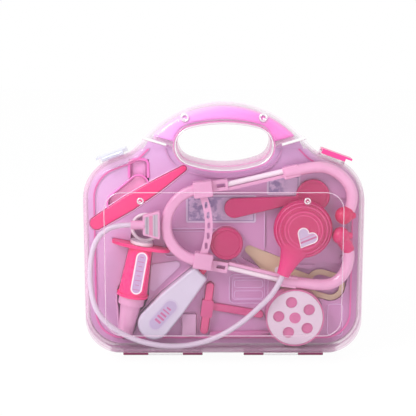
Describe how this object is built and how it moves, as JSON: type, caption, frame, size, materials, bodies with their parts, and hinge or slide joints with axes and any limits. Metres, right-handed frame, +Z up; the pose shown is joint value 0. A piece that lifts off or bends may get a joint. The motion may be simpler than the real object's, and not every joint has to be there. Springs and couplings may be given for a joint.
{
  "type": "toy doctor case",
  "caption": "Arch-handled clear toy doctor case, hinged at the bottom with two shoulder latches, holding a stethoscope, syringe, thermometer and other play tools in a formed tray",
  "frame": {"origin": "Centre of the bounding box in X and Y, at the underside of the hinge knuckles in Z.", "axes": "+X to the right of the front, +Y from the clear front cover towards the pink rear shell, +Z up through the handle."},
  "size_m": [0.271, 0.06, 0.2517],
  "materials": {
    "clear_plastic": "clear, polished",
    "pink_clear_plastic": "clear, tinted pink, polished",
    "magenta_plastic": "polished",
    "hot_pink_plastic": "semi-gloss moulded",
    "hot_pink_rubber": "satin",
    "grip_plastic": "semi-gloss moulded",
    "tray_plastic": "vacuum-formed, semi-gloss",
    "rim_plastic": "semi-gloss, tinted",
    "card_paper": "printed card",
    "white_plastic": "semi-gloss moulded",
    "pale_pink_plastic": "semi-gloss moulded",
    "label_paper": "printed label",
    "white_hose": "smooth soft tube",
    "pearl_plastic": "semi-gloss moulded",
    "dial_pink_plastic": "semi-gloss moulded",
    "beige_plastic": "semi-gloss moulded"
  },
  "bodies": {
    "case": {"adjusting_strap": "pale_pink_plastic", "blister_tray": "tray_plastic", "bottle_cap": "pale_pink_plastic", "chest_diaphragm": "white_plastic", "chest_piece": "hot_pink_plastic", "clear_pill_box": "clear_plastic", "hammer_handle": "hot_pink_plastic", "hammer_head": "hot_pink_rubber", "handle_grip": "grip_plastic", "headset_yoke": "pale_pink_plastic", "heart_badge": "label_paper", "hinge_pins": "magenta_plastic", "holder_label": "label_paper", "hose": "white_hose", "jar_body": "pale_pink_plastic", "label_holder": "pale_pink_plastic", "lower_ear_rail": "pale_pink_plastic", "lower_ear_rod": "white_plastic", "lower_ear_tip": "hot_pink_rubber", "lower_ear_tube": "pale_pink_plastic", "lower_socket": "pale_pink_plastic", "medicine_bottle": "pale_pink_plastic", "mirror_paddle": "hot_pink_plastic", "name_badge": "card_paper", "pill_wheel_box": "dial_pink_plastic", "rear_shell": "pink_clear_plastic", "right_latch_pin": "magenta_plastic", "scalpel": "hot_pink_plastic", "scissors_fixed_half": "beige_plastic", "scissors_pin": "white_plastic", "syringe_barrel": "hot_pink_plastic", "syringe_nose": "pale_pink_plastic", "syringe_scale": "label_paper", "tall_card": "card_paper", "thermometer_body": "pearl_plastic", "thermometer_label": "label_paper", "thermometer_tip": "hot_pink_plastic", "tray_rim": "rim_plastic", "tweezers": "pale_pink_plastic", "upper_ear_rail": "pale_pink_plastic", "upper_ear_rod": "white_plastic", "upper_ear_tip": "hot_pink_rubber", "upper_ear_tube": "pale_pink_plastic", "upper_socket": "pale_pink_plastic", "wide_card": "card_paper"},
    "front_cover": {"front_cover": "clear_plastic", "left_latch_pin": "clear_plastic"},
    "left_latch": {"left_latch": "clear_plastic"},
    "right_latch": {"right_latch": "hot_pink_plastic"},
    "plunger": {"plunger_rod": "white_plastic", "plunger_seal": "white_plastic"},
    "jar_cap": {"jar_cap": "hot_pink_plastic"},
    "pill_wheel_disc": {"pill_wheel_disc": "white_plastic"},
    "scissors_moving_half": {"scissors_moving_half": "beige_plastic"}
  },
  "joints": [
    {"name": "cover_hinge", "type": "hinge", "parent": "case", "child": "front_cover", "pos_m": [0, 0, 0.0036], "axis": [1, 0, 0], "range_deg": [0, 180]},
    {"name": "left_latch_hinge", "type": "hinge", "parent": "front_cover", "child": "left_latch", "pos_m": [-0.10571, -0.009, 0.20034], "axis": [0.9397, 0, 0.342], "range_deg": [0, 100]},
    {"name": "right_latch_hinge", "type": "hinge", "parent": "case", "child": "right_latch", "pos_m": [0.10571, 0.009, 0.20034], "axis": [-0.9397, 0, 0.342], "range_deg": [0, 100]},
    {"name": "plunger_slide", "type": "slide", "parent": "case", "child": "plunger", "axis": [0.1822, 0, 0.9833], "range_m": [0, 0.014]},
    {"name": "jar_cap_turn", "type": "hinge", "parent": "case", "child": "jar_cap", "pos_m": [0.0028, 0, 0.1154], "axis": [0, -1, 0], "range_deg": [0, 90]},
    {"name": "pill_wheel_turn", "type": "hinge", "parent": "case", "child": "pill_wheel_disc", "pos_m": [0.0697, -0.0138, 0.0421], "axis": [0, -1, 0], "continuous": true},
    {"name": "scissors_pivot", "type": "hinge", "parent": "case", "child": "scissors_moving_half", "pos_m": [0.054, 0.0039, 0.086], "axis": [0, -1, 0], "range_deg": [0, 8]}
  ]
}
